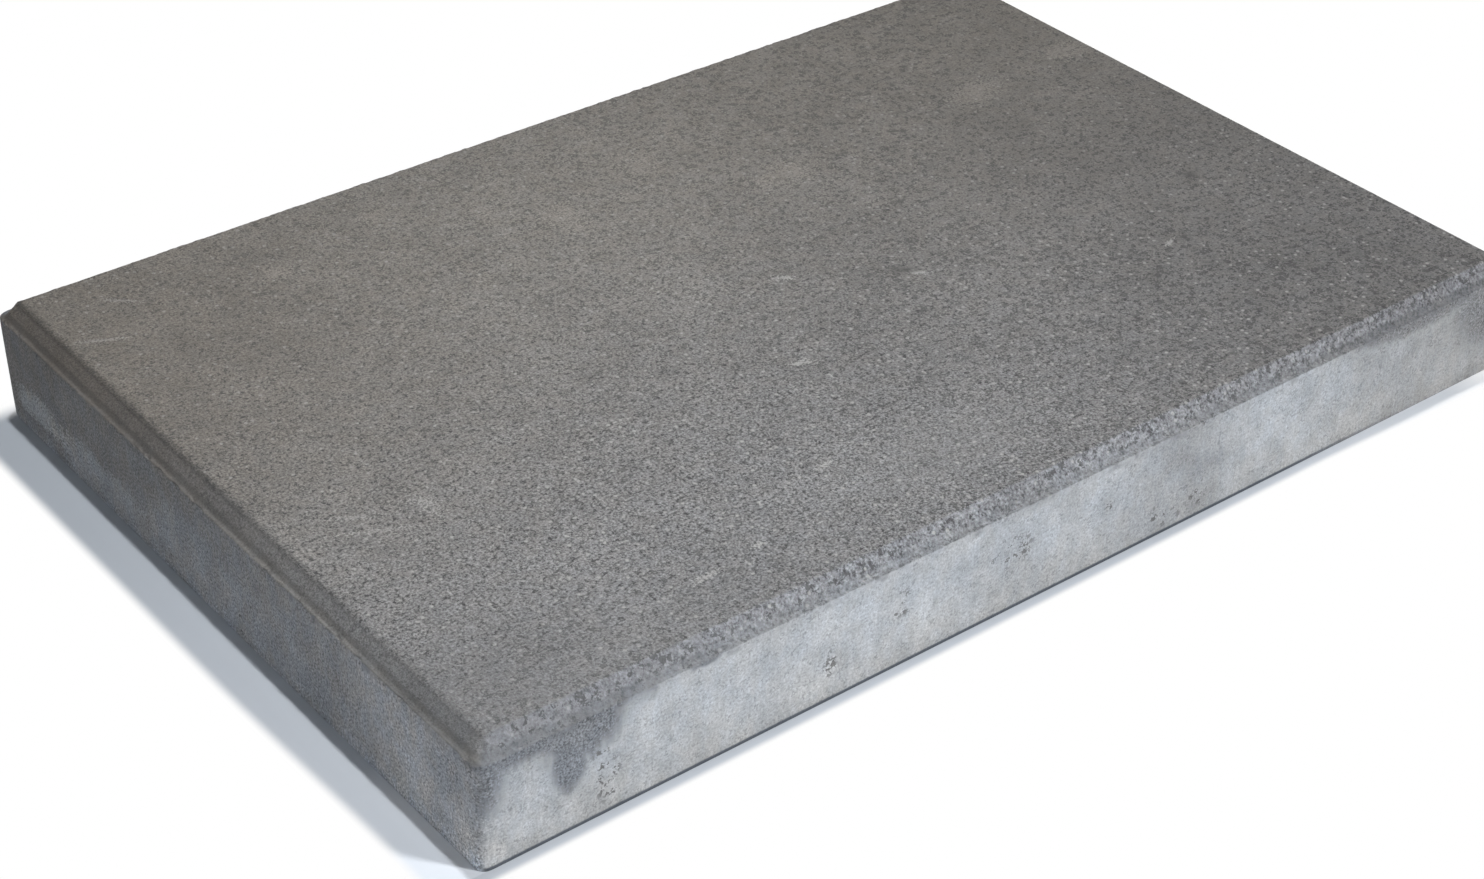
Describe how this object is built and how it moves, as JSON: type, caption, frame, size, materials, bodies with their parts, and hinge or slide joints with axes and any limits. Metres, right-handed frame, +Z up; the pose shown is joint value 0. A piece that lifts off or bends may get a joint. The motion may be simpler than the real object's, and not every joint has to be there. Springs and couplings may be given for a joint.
{
  "type": "concrete paving slab",
  "caption": "Rectangular cast concrete paving slab with a chamfered top edge and rounded corners, laid flat on a bed to pave paths, yards and terraces.",
  "frame": {"origin": "centre of the bed face, on the floor the slab lies on", "axes": "+X along the long side, +Y along the short side, +Z up through the walking face"},
  "size_m": [0.6, 0.4, 0.06],
  "materials": {
    "concrete": "matt sandy grey concrete, fine open pores on the walking face, paler smooth cement skin on the walls"
  },
  "bodies": {
    "root": {"paving_slab": "concrete"}
  },
  "joints": []
}
